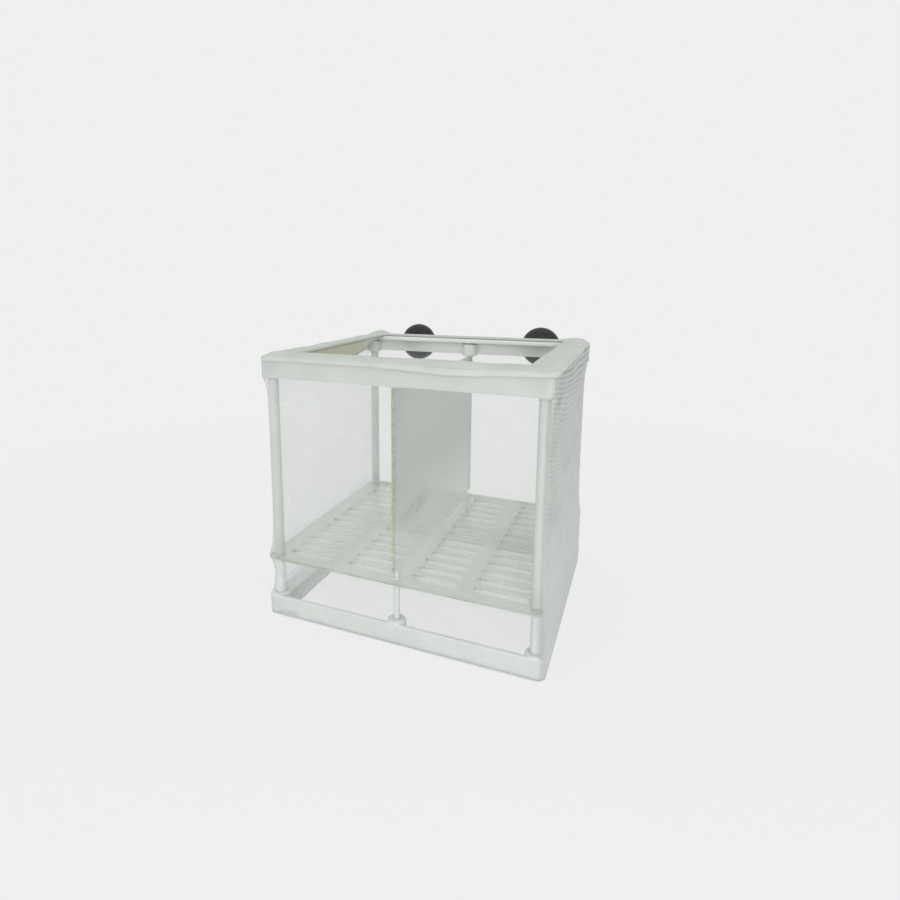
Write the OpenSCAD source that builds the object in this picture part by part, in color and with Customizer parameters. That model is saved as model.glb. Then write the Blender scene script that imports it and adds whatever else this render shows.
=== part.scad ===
// Net breeding box for an aquarium: a white plastic cage of two frames, corner posts and
// legs, with a slotted floor, an upright divider, a sewn net bag drawn over the cage, and
// two rubber suction cups that hold it to the glass.
// X runs from left to right, Y from front to back, Z up. The origin is the middle of the
// underside. All lengths are in millimetres.

/* [Whole box] */
// Width over the net
outer_w = 160; // [130:1:220]
// Depth over the net, without the suction cups
outer_d = 142; // [115:1:200]
// Height from the underside of the net to the top of its hem
outer_h = 152; // [120:1:200]

/* [Frames] */
// Corner radius of the frames, seen from above
corner_r = 4; // [3:0.5:8]
// Height of a frame's outer wall
wall_h = 11; // [8:0.5:16]
// Thickness of a frame's outer wall
wall_t = 1.8; // [1.2:0.1:2.6]
// Radius of the rounded edge between a frame's wall and its flange
edge_r = 1.4; // [0.4:0.1:1.7]
// Width of a frame's flange, from the outer face inwards
flange_w = 10; // [8:0.5:14]
// Thickness of the flange
flange_t = 1.6; // [1.2:0.1:2.4]
// Width of the lip along the inner edge of the top frame's flange
lip_w = 1.4; // [0.8:0.1:2.5]
// Height of that lip, with the flange
lip_h = 2.8; // [2.4:0.1:4]

/* [Bosses] */
// Diameter of the bosses that hold the posts and legs
boss_d = 10.4; // [9:0.2:14]
// Height of the bosses, measured from the flange's outer side
boss_h = 12; // [11:0.5:18]
// Radius of the round at a boss's free end
boss_round = 1.6; // [0.4:0.2:1.8]
// Material left behind a boss's socket
socket_floor = 2.2; // [1.6:0.2:4]

/* [Posts and legs] */
// Diameter of the corner posts and corner legs
post_d = 5.8; // [5:0.1:7]
// Diameter of the two middle legs
mid_leg_d = 3.4; // [3:0.1:5]
// Diameter of the spigot on top of a corner leg
spigot_d = 3; // [2:0.1:3.6]
// Height of that spigot above the floor
spigot_h = 8; // [4:1:14]
// Diameter of the tip on top of a middle leg
tip_d = 2.8; // [2:0.1:2.9]
// Height of that tip above the floor
tip_h = 3.4; // [2:0.2:5]
// Radius of the round at a post's lower end
post_round = 1; // [0.2:0.1:1.2]

/* [Floor] */
// Height of the floor's top surface above the underside
floor_z = 36; // [25:1:60]
// Thickness of the floor
floor_t = 1.8; // [1.4:0.1:3]
// Width of a slot, from front to back
slot_w = 3.2; // [2:0.2:4]
// Distance between rows of slots
slot_pitch = 9.8; // [7:0.2:14]
// Length of the slots beside the middle band
inner_slot_l = 24.5; // [14:0.5:30]
// Width of the plain band down the middle, under the divider
middle_band = 14; // [12:0.5:24]
// Width of the bar between two columns of slots
column_bar = 9; // [4:0.5:16]
// Plain margin beside the outer slots
side_margin = 10.2; // [9:0.2:18]
// Least plain margin in front of the first row and behind the last row
row_margin = 10; // [9:0.5:20]
// Width of the collar's wall round each middle leg's tip
collar_w = 1.7; // [1:0.1:2.4]
// Height of that collar
collar_h = 0.8; // [0.4:0.1:1.4]

/* [Divider] */
// Thickness of the divider
divider_t = 1.2; // [0.8:0.1:2]
// Clearance between the divider and the floor, bosses and net
divider_gap = 0.3; // [0.2:0.05:0.5]

/* [Net] */
// Thickness of the net
net_t = 0.5; // [0.3:0.1:1]
// Clearance between the net and the cage, and between one panel and the next
net_gap = 0.3; // [0.2:0.05:0.5]
// Width of the hem on top of the front, left and right rails
hem_w = 14; // [12:0.5:20]
// Width of the hem on top of the back rail
back_hem_w = 6; // [4:0.5:8]
// Height of the flap that hangs inside the front, left and right rails, with the hem
flap_h = 10; // [6:0.5:11]
// Diameter of the elastic cord in the hem
elastic_d = 1.2; // [0.8:0.1:2]

/* [Suction cups] */
// Distance from the side of the net to a cup's axis
cup_inset = 34.5; // [20:0.5:50]
// Diameter of a cup's rim
cup_d = 26.5; // [18:0.5:34]
// Depth of a cup's bell
bell_h = 8; // [6:0.5:11]
// Thickness of the rubber at the rim
rim_t = 1; // [0.6:0.1:1.6]
// Thickness of the rubber behind the hollow
bell_t = 2.2; // [1.6:0.2:3]
// Diameter of a cup's neck
neck_d = 9; // [7.5:0.5:12]
// Length of a cup's neck
neck_h = 5.5; // [4:0.5:9]
// Diameter of the peg that a cup is pushed onto
peg_d = 4; // [3:0.1:5]
// Length of the peg outside the frame
peg_h = 7; // [5:0.5:8]

/* [Fits] */
// Clearance all round a post, leg or spigot in its hole
push_fit = 0.1; // [0.05:0.01:0.15]
// Clearance all round a peg in its cup, which can be turned
turn_fit = 0.05; // [0.02:0.01:0.1]
// Clearance at the blind end of a hole
end_gap = 0.3; // [0.1:0.1:1]

/* [Hidden] */

$fn = 48;
eps = 0.01;

// The cage stands inside the net
net_space = net_t + net_gap;
frame_w = outer_w - 2 * net_space;
frame_d = outer_d - 2 * net_space;
frame_bottom = net_space;
frame_top = outer_h - net_space;

// Bosses touch the frame's outer face from inside
boss_inset = boss_d / 2;
post_x = frame_w / 2 - boss_inset;
post_y = frame_d / 2 - boss_inset;
socket_depth = boss_h - socket_floor;

// Levels of the posts and legs
floor_under = floor_z - floor_t;
leg_bottom = frame_bottom + socket_floor;
post_top = frame_top - socket_floor - end_gap;

// Divider, between the floor and the bosses of the top frame
divider_l = frame_d - 2 * divider_gap;
divider_low = floor_z + divider_gap;
divider_high = frame_top - boss_h - divider_gap;
collar_r = tip_d / 2 + push_fit + collar_w;
notch_l = divider_l / 2 - post_y + collar_r + 2 * divider_gap;
notch_h = tip_h + 2 * divider_gap;

// Rows and columns of the floor's slots
row_reach = frame_d / 2 - row_margin;
row_steps = floor(row_reach / slot_pitch);
inner_slot_x = middle_band / 2;
outer_slot_x = inner_slot_x + inner_slot_l + column_bar;
outer_slot_l = frame_w / 2 - side_margin - outer_slot_x;

// Suction cups, on the middle of the top frame's back wall
cup_x = outer_w / 2 - cup_inset;
peg_z = frame_top - wall_h / 2;
cup_y = outer_d / 2 + net_gap;
cup_bore_depth = peg_h - net_space - net_gap + end_gap;
cup_len = neck_h + bell_h;

// The flap ends in front of the back rail's flange, so that it stands clear of it
window_w = outer_w - 2 * hem_w;
window_d = outer_d - hem_w - back_hem_w;
window_y = (hem_w - back_hem_w) / 2;
flap_end = frame_d / 2 - flange_w - 1.5;

frame_color = [0.85, 0.87, 0.86];
grille_color = [0.76, 0.80, 0.76, 0.8];
divider_color = [0.72, 0.76, 0.73, 0.8];
net_color = [0.90, 0.92, 0.91, 0.35];
hem_color = [0.82, 0.85, 0.82];
rubber_color = [0.16, 0.16, 0.16];

// Rectangle with round corners, centred
module round_rect(w, d, r) {
    square([w - 2 * r, d], center = true);
    square([w, d - 2 * r], center = true);
    for (sx = [-1, 1], sy = [-1, 1])
        translate([sx * (w / 2 - r), sy * (d / 2 - r)])
            circle(r);
}

// Section of a frame's wall: x is the distance outwards, y the height above the flange's
// outer side. The outer lower edge is round.
module wall_section() {
    arc = [for (a = [0:15:90]) [-edge_r + edge_r * sin(a), edge_r - edge_r * cos(a)]];
    polygon(concat([[-wall_t, wall_h], [-wall_t, 0]], arc, [[0, wall_h]]));
}

// One straight run of wall, of length l, facing +X at the distance x
module wall_run(x, l) {
    translate([x, l / 2, 0])
        rotate([90, 0, 0])
            linear_extrude(l)
                wall_section();
}

// A quarter turn of wall round a corner
module wall_corner() {
    rotate_extrude(angle = 90)
        translate([corner_r, 0])
            wall_section();
}

// Round-ended boss with a blind socket
module boss(hole_d) {
    difference() {
        union() {
            cylinder(h = boss_h - boss_round, d = boss_d);
            cylinder(h = boss_h, d = boss_d - 2 * boss_round);
            translate([0, 0, boss_h - boss_round])
                rotate_extrude()
                    translate([boss_d / 2 - boss_round, 0])
                        intersection() {
                            circle(boss_round);
                            square(boss_round);
                        }
        }
        translate([0, 0, socket_floor])
            cylinder(h = boss_h, d = hole_d);
    }
}

// The moulding that both frames share, with its flange at the bottom and its bosses up. Only
// the top frame's flange has a lip.
module frame(lip) {
    run_x = frame_w - 2 * corner_r;
    run_y = frame_d - 2 * corner_r;
    inner_w = frame_w - 2 * flange_w;
    inner_d = frame_d - 2 * flange_w;
    difference() {
        union() {
            for (side = [0, 180])
                rotate([0, 0, side])
                    wall_run(frame_w / 2, run_y);
            for (side = [90, 270])
                rotate([0, 0, side])
                    wall_run(frame_d / 2, run_x);
            for (corner = [[1, 1, 0], [-1, 1, 90], [-1, -1, 180], [1, -1, 270]])
                translate([corner[0] * run_x / 2, corner[1] * run_y / 2, 0])
                    rotate([0, 0, corner[2]])
                        wall_corner();
            linear_extrude(flange_t)
                difference() {
                    round_rect(frame_w - wall_t, frame_d - wall_t, corner_r - wall_t / 2);
                    square([inner_w, inner_d], center = true);
                }
            if (lip)
                linear_extrude(lip_h)
                    difference() {
                        square([inner_w + 2 * lip_w, inner_d + 2 * lip_w], center = true);
                        square([inner_w, inner_d], center = true);
                    }
            for (sx = [-1, 1], sy = [-1, 1])
                translate([sx * post_x, sy * post_y, 0])
                    cylinder(h = lip ? lip_h : flange_t, d = boss_d);
        }
        for (sx = [-1, 1], sy = [-1, 1])
            translate([sx * post_x, sy * post_y, socket_floor])
                cylinder(h = boss_h, d = post_d + 2 * push_fit);
        for (sy = [-1, 1])
            translate([0, sy * post_y, socket_floor])
                cylinder(h = boss_h, d = mid_leg_d + 2 * push_fit);
    }
    for (sx = [-1, 1], sy = [-1, 1])
        translate([sx * post_x, sy * post_y, 0])
            boss(post_d + 2 * push_fit);
    for (sy = [-1, 1])
        translate([0, sy * post_y, 0])
            boss(mid_leg_d + 2 * push_fit);
}

// Peg on the back wall for one suction cup
module peg(x) {
    translate([x, frame_d / 2 - eps, peg_z])
        rotate([-90, 0, 0])
            cylinder(h = peg_h + eps, d = peg_d);
}

module top_frame() {
    color(frame_color) {
        translate([0, 0, frame_top])
            mirror([0, 0, 1])
                frame(true);
        peg(-cup_x);
        peg(cup_x);
    }
}

module bottom_frame() {
    color(frame_color)
        translate([0, 0, frame_bottom])
            frame(false);
}

// Corner post, from the floor up into the top frame's socket, with a bore for the spigot
module post(sx, sy) {
    color(frame_color)
        translate([sx * post_x, sy * post_y, floor_z])
            difference() {
                union() {
                    translate([0, 0, post_round])
                        cylinder(h = post_top - floor_z - post_round, d = post_d);
                    cylinder(h = post_round + eps, d = post_d - 2 * post_round);
                    translate([0, 0, post_round])
                        rotate_extrude()
                            translate([post_d / 2 - post_round, 0])
                                intersection() {
                                    circle(post_round);
                                    translate([0, -post_round])
                                        square(post_round);
                                }
                }
                translate([0, 0, -eps])
                    cylinder(h = spigot_h + end_gap + eps, d = spigot_d + 2 * push_fit);
            }
}

// Corner leg, from the bottom frame's socket up to the floor, with its spigot
module corner_leg(sx, sy) {
    color(frame_color)
        translate([sx * post_x, sy * post_y, 0]) {
            translate([0, 0, leg_bottom])
                cylinder(h = floor_under - leg_bottom, d = post_d);
            translate([0, 0, leg_bottom])
                cylinder(h = floor_z + spigot_h - leg_bottom, d = spigot_d);
        }
}

// Middle leg, with a round tip that shows above the floor
module middle_leg(sy) {
    color(frame_color)
        translate([0, sy * post_y, 0]) {
            translate([0, 0, leg_bottom])
                cylinder(h = floor_under - leg_bottom, d = mid_leg_d);
            translate([0, 0, leg_bottom])
                cylinder(h = floor_z + tip_h - tip_d / 2 - leg_bottom, d = tip_d);
            translate([0, 0, floor_z + tip_h - tip_d / 2])
                sphere(d = tip_d);
        }
}

// Outline of one slot, from x = 0 to x = l
module slot(l) {
    translate([slot_w / 2, -slot_w / 2])
        square([l - slot_w, slot_w]);
    for (x = [slot_w / 2, l - slot_w / 2])
        translate([x, 0])
            circle(slot_w / 2);
}

module floor_grille() {
    color(grille_color)
        difference() {
            union() {
                translate([0, 0, floor_under])
                    linear_extrude(floor_t)
                        round_rect(frame_w, frame_d, corner_r);
                for (sy = [-1, 1])
                    translate([0, sy * post_y, floor_under])
                        cylinder(h = floor_t + collar_h, r = collar_r);
            }
            translate([0, 0, floor_under - 1])
                linear_extrude(floor_t + 2)
                    for (row = [-row_steps:row_steps], side = [0, 1])
                        mirror([side, 0])
                            translate([0, row * slot_pitch]) {
                                translate([inner_slot_x, 0])
                                    slot(inner_slot_l);
                                translate([outer_slot_x, 0])
                                    slot(outer_slot_l);
                            }
            for (sx = [-1, 1], sy = [-1, 1])
                translate([sx * post_x, sy * post_y, floor_under - 1])
                    cylinder(h = floor_t + 2, d = spigot_d + 2 * push_fit);
            for (sy = [-1, 1])
                translate([0, sy * post_y, floor_under - 1])
                    cylinder(h = floor_t + collar_h + 2, d = tip_d + 2 * push_fit);
        }
}

// Upright sheet with a half-round lower edge, notched at both ends over the legs' tips
module divider_panel() {
    bead_l = divider_l - 2 * notch_l;
    bead_z = divider_low + divider_t / 2;
    color(divider_color) {
        difference() {
            translate([-divider_t / 2, -divider_l / 2, bead_z])
                cube([divider_t, divider_l, divider_high - bead_z]);
            for (side = [0, 180])
                rotate([0, 0, side])
                    translate([-divider_t, bead_l / 2, divider_low - 1])
                        cube([2 * divider_t, notch_l + 1, notch_h + 1]);
        }
        translate([0, bead_l / 2, bead_z])
            rotate([90, 0, 0])
                cylinder(h = bead_l, d = divider_t);
    }
}

// One suction cup: neck towards the frame, hollow towards the glass
module suction_cup(x) {
    rim_r = cup_d / 2;
    bell_steps = 8;
    outside = [for (i = [0:bell_steps])
        let (u = i / bell_steps, r = neck_d / 2 + (rim_r - neck_d / 2) * sin(90 * u))
            [r, neck_h + (bell_h - rim_t) * (1 - cos(90 * u))]];
    inside = [for (i = [0:bell_steps])
        let (u = i / bell_steps)
            [(rim_r - rim_t) * (1 - u), cup_len - (bell_h - bell_t) * sin(90 * u)]];
    color(rubber_color)
        translate([x, cup_y, peg_z])
            rotate([-90, 0, 0])
                difference() {
                    rotate_extrude()
                        polygon(concat([[0, 0], [neck_d / 2, 0]], outside,
                            [[rim_r, cup_len]], inside));
                    translate([0, 0, -eps])
                        cylinder(h = cup_bore_depth + eps, d = peg_d + 2 * turn_fit);
                }
}

// Front or back panel of the net, between the two side panels
module net_across(sy) {
    color(net_color)
        difference() {
            translate([-frame_w / 2, sy * (outer_d - net_t) / 2 - net_t / 2, net_space])
                cube([frame_w, net_t, frame_top - net_space]);
            if (sy > 0)
                for (x = [-cup_x, cup_x])
                    translate([x, 0, peg_z])
                        rotate([-90, 0, 0])
                            cylinder(h = outer_d, d = peg_d + 2 * net_gap);
        }
}

// Left or right panel of the net
module net_side(sx) {
    color(net_color)
        translate([sx * (outer_w - net_t) / 2 - net_t / 2, -outer_d / 2, net_space])
            cube([net_t, outer_d, frame_top - net_space]);
}

module net_bottom() {
    color(net_color)
        linear_extrude(net_t)
            round_rect(outer_w, outer_d, corner_r);
}

// Folded hem on the top frame's flange, with the flap that hangs inside three of the rails
module net_hem() {
    color(hem_color) {
        translate([0, 0, frame_top + net_gap])
            linear_extrude(net_t)
                difference() {
                    round_rect(outer_w, outer_d, corner_r);
                    translate([0, window_y])
                        round_rect(window_w, window_d, corner_r);
                }
        translate([0, 0, outer_h - flap_h])
            linear_extrude(flap_h - net_t / 2)
                intersection() {
                    translate([0, window_y])
                        difference() {
                            round_rect(window_w + 2 * net_t, window_d + 2 * net_t, corner_r + net_t);
                            round_rect(window_w, window_d, corner_r);
                        }
                    translate([-outer_w / 2, -outer_d / 2])
                        square([outer_w, outer_d / 2 + flap_end]);
                }
    }
}

// Closed loop of elastic cord inside the free edge where the hem turns down into its flap
module hem_elastic() {
    inset = net_gap + elastic_d / 2;
    x = window_w / 2 - inset;
    y = window_d / 2 - inset;
    bend = corner_r - inset;
    color(hem_color)
        translate([0, window_y, frame_top + inset]) {
            for (side = [-1, 1]) {
                translate([-x + bend, side * y])
                    rotate([0, 90, 0])
                        cylinder(h = 2 * (x - bend), d = elastic_d);
                translate([side * x, y - bend])
                    rotate([90, 0, 0])
                        cylinder(h = 2 * (y - bend), d = elastic_d);
            }
            for (corner = [[1, 1, 0], [-1, 1, 90], [-1, -1, 180], [1, -1, 270]])
                translate([corner[0] * (x - bend), corner[1] * (y - bend)])
                    rotate([0, 0, corner[2]])
                        rotate_extrude(angle = 90)
                            translate([bend, 0])
                                circle(d = elastic_d);
        }
}

top_frame();
bottom_frame();
post(-1, -1);  // post_front_left
post(1, -1);  // post_front_right
post(-1, 1);  // post_back_left
post(1, 1);  // post_back_right
corner_leg(-1, -1);  // leg_front_left
corner_leg(1, -1);  // leg_front_right
corner_leg(-1, 1);  // leg_back_left
corner_leg(1, 1);  // leg_back_right
middle_leg(-1);  // leg_front_middle
middle_leg(1);  // leg_back_middle
floor_grille();
divider_panel();
suction_cup(-cup_x);  // suction_cup_left
suction_cup(cup_x);  // suction_cup_right
net_across(-1);  // net_front
net_across(1);  // net_back
net_side(-1);  // net_left
net_side(1);  // net_right
net_bottom();
net_hem();
hem_elastic();
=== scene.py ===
"""Finishes for a fish breeding box, with its net bag, elastic hem and studio."""

import math

import bmesh
import bpy
from bpy.props import FloatProperty, FloatVectorProperty, PointerProperty
from mathutils import Matrix, Vector, noise


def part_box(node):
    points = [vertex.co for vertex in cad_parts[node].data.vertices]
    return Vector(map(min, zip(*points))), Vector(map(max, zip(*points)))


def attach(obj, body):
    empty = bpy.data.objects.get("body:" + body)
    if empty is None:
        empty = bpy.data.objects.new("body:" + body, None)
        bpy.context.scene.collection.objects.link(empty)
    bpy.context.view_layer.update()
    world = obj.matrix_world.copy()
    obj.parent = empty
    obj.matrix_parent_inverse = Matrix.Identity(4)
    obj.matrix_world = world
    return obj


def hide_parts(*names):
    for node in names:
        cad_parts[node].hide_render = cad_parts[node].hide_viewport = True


bl_info = {
    "name": "Fish Breeding Box",
    "version": (1, 0, 0),
    "blender": (4, 5, 0),
    "location": "3D View > Sidebar > Breeding Box",
    "description": "Net bag, hem, finishes and studio for a fish breeding box",
    "category": "Object",
}

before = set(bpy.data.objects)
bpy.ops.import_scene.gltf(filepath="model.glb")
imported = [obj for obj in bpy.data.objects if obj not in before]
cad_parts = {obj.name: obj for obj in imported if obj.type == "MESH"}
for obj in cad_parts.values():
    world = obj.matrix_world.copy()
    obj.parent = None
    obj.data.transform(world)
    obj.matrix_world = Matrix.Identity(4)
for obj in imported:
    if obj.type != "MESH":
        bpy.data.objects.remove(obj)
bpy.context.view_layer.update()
MM = 0.001


def solid_box(node):
    """Lowest and highest corner of a solid, in millimetres."""
    return tuple(Vector(corner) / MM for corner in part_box(node))


def srgb(*shades):
    """Linear colour of an 8-bit screen colour."""
    linear = [s / 255 for s in shades]
    return tuple(s / 12.92 if s <= 0.04045 else ((s + 0.055) / 1.055) ** 2.4 for s in linear)


# Sizes that the solids give, in millimetres
FRAME_LOW, FRAME_HIGH = solid_box("top_frame")
HALF_W, HALF_D = FRAME_HIGH.x, -FRAME_LOW.y
TOP = FRAME_HIGH.z
FOOT = solid_box("bottom_frame")[0].z
MIDDLE = (TOP + FOOT) / 2
# Heights of the floor plate, with the low collars that stand on it
PLATE_LOW, PLATE_HIGH = (corner.z for corner in solid_box("floor_grille"))
PLATE_MIDDLE = (PLATE_LOW + PLATE_HIGH) / 2
# How far a post stands inside the rails' outer faces
POST_IN = HALF_W - solid_box("post_front_right")[1].x

# Sizes of the rails
RAIL_H = 11.0
RAIL_CORNER = 4.0
UPPER_RAIL_FOOT = TOP - RAIL_H
LOWER_RAIL_TOP = FOOT + RAIL_H

# Slots in the floor plate: left ends of the four columns, distance between rows, end radius
SLOT_STARTS = (-69.0, -31.5, 7.0, 40.5)
SLOT_PITCH = 9.8
SLOT_ROUND = 1.6

# How far the net lies outside the rails, its corner radius there, and how far in it is drawn
NET_OUT = 0.38
NET_CORNER = 4.4
NET_DRAWN = POST_IN - 0.2
# Foot of the net's wall, height where it turns in over the upper rails, and radius of both turns
WALL_FOOT = 0.35
WALL_TURN = TOP - 1.2
TURN_RADIUS = 1.7
# Millimetres of cloth in one unit of its UV map
CLOTH_UNIT = 100.0
# Sides of a round cord or seam, and length of one stitch
CORD_SIDES = 8
STITCH = 2.4

# The sides and corners of the box, in order from the front left corner
FRONT, FRONT_RIGHT, RIGHT, BACK_RIGHT, BACK, BACK_LEFT, LEFT, FRONT_LEFT = range(8)

# Tints that no setting changes
FLOW_TINT = srgb(208, 211, 196)
# Painted shadow under the upper frame's inner lip
LIP_SHADOW_TINT = srgb(138, 130, 98)
# Painted light on the lower rails' upper edges
RAIL_TOP_LIGHT_TINT = srgb(248, 250, 248)
DUST_TINT = srgb(58, 58, 56)
# How far red, green and blue light spread in milky plastic, compared with each other
MILKY = (1.0, 1.0, 0.95)

# Lamps: name, place and size in metres, and share of the studio's lamp power
LAMPS = (
    ("key_lamp", (0.22, -0.64, 0.33), 0.3, 0.55),
    ("low_lamp", (0.3, -0.6, 0.15), 0.28, 0.45),
    ("top_lamp", (-0.1, 0.1, 1.0), 0.8, 0.45),
)
LAMP_AIM = Vector((0, 0, 0.08))

# The camera's place in metres, the ways that its underside and its lens face, and its shift
CAMERA_PLACE = Vector((0.115638, -0.331194, 0.193078))
CAMERA_DOWN = Vector((0.064555, -0.157846, -0.985351))
CAMERA_AHEAD = Vector((-0.394238, 0.903056, -0.170491))
CAMERA_SHIFT = (0.0611, -0.0778)


def ease(low, high, value):
    """0 below low, 1 above high, and a smooth rise between them."""
    t = min(max((value - low) / (high - low), 0.0), 1.0)
    return t * t * (3 - 2 * t)


def bell(value, centre, width):
    """1 at the centre, with a smooth fall to 0 on both sides."""
    return math.exp(-(((value - centre) / width) ** 2))


def blend(first, second, share):
    """The number this share of the way from the first to the second."""
    return first + (second - first) * share


def wander(x, y=0.0, z=0.0):
    """Smooth noise from -1 to 1, the same on every run."""
    return noise.noise(Vector((x, y, z)))


def colour_prop(name, text, shades):
    return FloatVectorProperty(
        name=name, description=text, subtype="COLOR", size=3, min=0, max=1, default=srgb(*shades)
    )


def length_prop(name, text, value, low, high):
    return FloatProperty(
        name=name, description=text, default=value * MM, min=low * MM, max=high * MM,
        unit="LENGTH", precision=4,
    )


# ---------------------------------------------------------------- settings


class BreedingBoxCloth(bpy.types.PropertyGroup):
    mesh_pitch: length_prop("Mesh Pitch", "Distance between the threads of the net", 0.55, 0.3, 3)
    coverage: FloatProperty(
        name="Coverage", description="Share of the net that its threads cover, seen face on",
        default=0.17, min=0.05, max=0.9, subtype="FACTOR",
    )
    ripple_pitch: length_prop("Ripple Pitch", "Height of one ripple in the right wall", 2.3, 1.2, 8)
    ripple_depth: length_prop("Ripple Depth", "How far a ripple stands out", 0.2, 0, 1)
    hem_width: length_prop("Hem Width", "Width of the hem on the front and side rails", 14.8, 12, 18)
    back_hem_width: length_prop("Back Hem Width", "Width of the hem on the back rail", 6.8, 4, 9)
    flap_depth: length_prop("Flap Depth", "How far the hem hangs inside the rails", 9.6, 5, 11)
    puff: length_prop("Puff", "How far the bunched hem rises between its edges", 1.7, 0, 4)


class BreedingBoxFinish(bpy.types.PropertyGroup):
    plastic: colour_prop("Plastic", "Upper frame and posts", (210, 214, 210))
    lower: colour_prop("Lower Plastic", "Lower frame with its legs", (229, 233, 230))
    plate: colour_prop("Floor Plate", "Frosted floor plate", (219, 225, 219))
    divider: colour_prop("Divider", "See-through divider", (204, 210, 204))
    edge: colour_prop("Cut Edges", "Tint of the plates' cut edges", (166, 163, 126))
    rubber: colour_prop("Rubber", "Suction cups", (30, 30, 29))
    net: colour_prop("Net", "Threads of the bag", (205, 211, 207))
    hem: colour_prop("Hem", "Folded hem", (198, 204, 197))
    # The flap colour is painted shade, the olive-brown that the flap's inner face shows in shade
    flap: colour_prop("Flap", "Inner face of the hem's flap", (182, 180, 162))


class BreedingBoxStudio(bpy.types.PropertyGroup):
    backdrop: colour_prop("Backdrop", "Floor and background", (239, 239, 239))
    ambient: FloatProperty(
        name="Ambient", description="Strength of the light from all round", default=0.8,
        min=0, max=2,
    )
    lamp_power: FloatProperty(
        name="Lamp Power", description="Power that the three lamps take their shares of",
        default=1.62, min=0, max=200, unit="POWER",
    )
    focal_length: FloatProperty(
        name="Focal Length", description="Focal length of the camera", default=23.4923,
        min=10, max=200, unit="CAMERA",
    )


# ---------------------------------------------------------------- node helpers


class Finish:
    """The nodes of a material or a world, built up one node at a time."""

    def __init__(self, owner):
        owner.use_nodes = True
        self.owner = owner
        self.tree = owner.node_tree
        self.tree.nodes.clear()

    def add(self, kind, inputs=None, **settings):
        """A new node, each of whose inputs is linked to a socket or set to a value."""
        made = self.tree.nodes.new("ShaderNode" + kind)
        for key, value in settings.items():
            setattr(made, key, value)
        for key, value in (inputs or {}).items():
            if isinstance(value, bpy.types.NodeSocket):
                self.tree.links.new(value, made.inputs[key])
            else:
                made.inputs[key].default_value = value
        return made

    def math(self, operation, first, second=0.0, third=None, clamp=False):
        values = {0: first, 1: second}
        if third is not None:
            values[2] = third
        return self.add("Math", values, operation=operation, use_clamp=clamp).outputs[0]

    def product(self, made, *factors):
        """The first value multiplied by each of the factors."""
        for factor in factors:
            made = self.math("MULTIPLY", made, factor)
        return made

    def rest(self, share, clamp=False):
        """What a share leaves of 1."""
        return self.math("SUBTRACT", 1.0, share, clamp=clamp)

    def off(self, value, centre):
        """How far a value is from a centre, on either side."""
        return self.math("ABSOLUTE", self.math("SUBTRACT", value, centre))

    def stripes(self, value, pitch):
        """0 on evenly spaced lines, and 1 midway between them."""
        return self.math("ABSOLUTE", self.math("SINE", self.product(value, math.pi / pitch)))

    def spread(self, value, low, high, to_low, to_high):
        """Smooth change from to_low to to_high while the value goes from low to high."""
        inputs = {0: value, 1: low, 2: high, 3: to_low, 4: to_high}
        return self.add("MapRange", inputs, interpolation_type="SMOOTHSTEP").outputs[0]

    def mix(self, factor, first, second):
        made = self.add("Mix", {0: factor, 6: first, 7: second}, data_type="RGBA")
        return made.outputs[2]

    def clouded(self, cloud, colour, by):
        """The colour, clouded with a shade of it that is this many times as bright."""
        return self.mix(self.spread(cloud, 0.35, 0.7, 0, 1), opaque(colour), scaled(colour, by))

    def place(self, scale=1000.0):
        """Object coordinates, in millimetres unless another scale is given."""
        return self.stretched(self.add("TexCoord").outputs["Object"], (scale,) * 3)

    def stretched(self, vector, scale):
        return self.add("Mapping", {"Vector": vector, "Scale": scale}).outputs[0]

    def parts(self, vector):
        return self.add("SeparateXYZ", {0: vector}).outputs

    def attribute(self, name):
        made = self.add("Attribute", attribute_name=name, attribute_type="GEOMETRY")
        return made.outputs["Fac"]

    def noise(self, vector, scale, detail=2.0, output="Fac"):
        inputs = {"Vector": vector, "Scale": scale, "Detail": detail}
        return self.add("TexNoise", inputs).outputs[output]

    def bump(self, height, strength, distance):
        """Normal of a rough surface, with the distance in millimetres."""
        inputs = {"Height": height, "Strength": strength, "Distance": distance * MM}
        return self.add("Bump", inputs).outputs[0]

    def close(self, **inputs):
        """Ends the nodes with one plain surface, whose inputs are named with underscores."""
        named = {key.replace("_", " "): value for key, value in inputs.items()}
        return self.send(self.add("BsdfPrincipled", named))

    def send(self, surface, output="OutputMaterial"):
        """Sends a surface to the output, and returns the material or world."""
        self.add(output, {"Surface": surface.outputs[0]})
        return self.owner


def new_finish(name):
    return Finish(bpy.data.materials.new(name))


def opaque(colour):
    return (*colour, 1.0)


def scaled(colour, by):
    return tuple(min(c * by, 1.0) for c in colour) + (1.0,)


def finish_node(node, material):
    """Gives a solid from the frame a better material."""
    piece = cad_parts[node]
    piece.data.materials.clear()
    piece.data.materials.append(material)


# ---------------------------------------------------------------- shape helpers


def rectangle(inset, back=None):
    """Corners of the rails' outline, moved in by the inset, or along the back by its own one."""
    behind = inset if back is None else back
    return (-HALF_W + inset, -HALF_D + inset), (HALF_W - inset, HALF_D - behind)


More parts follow.
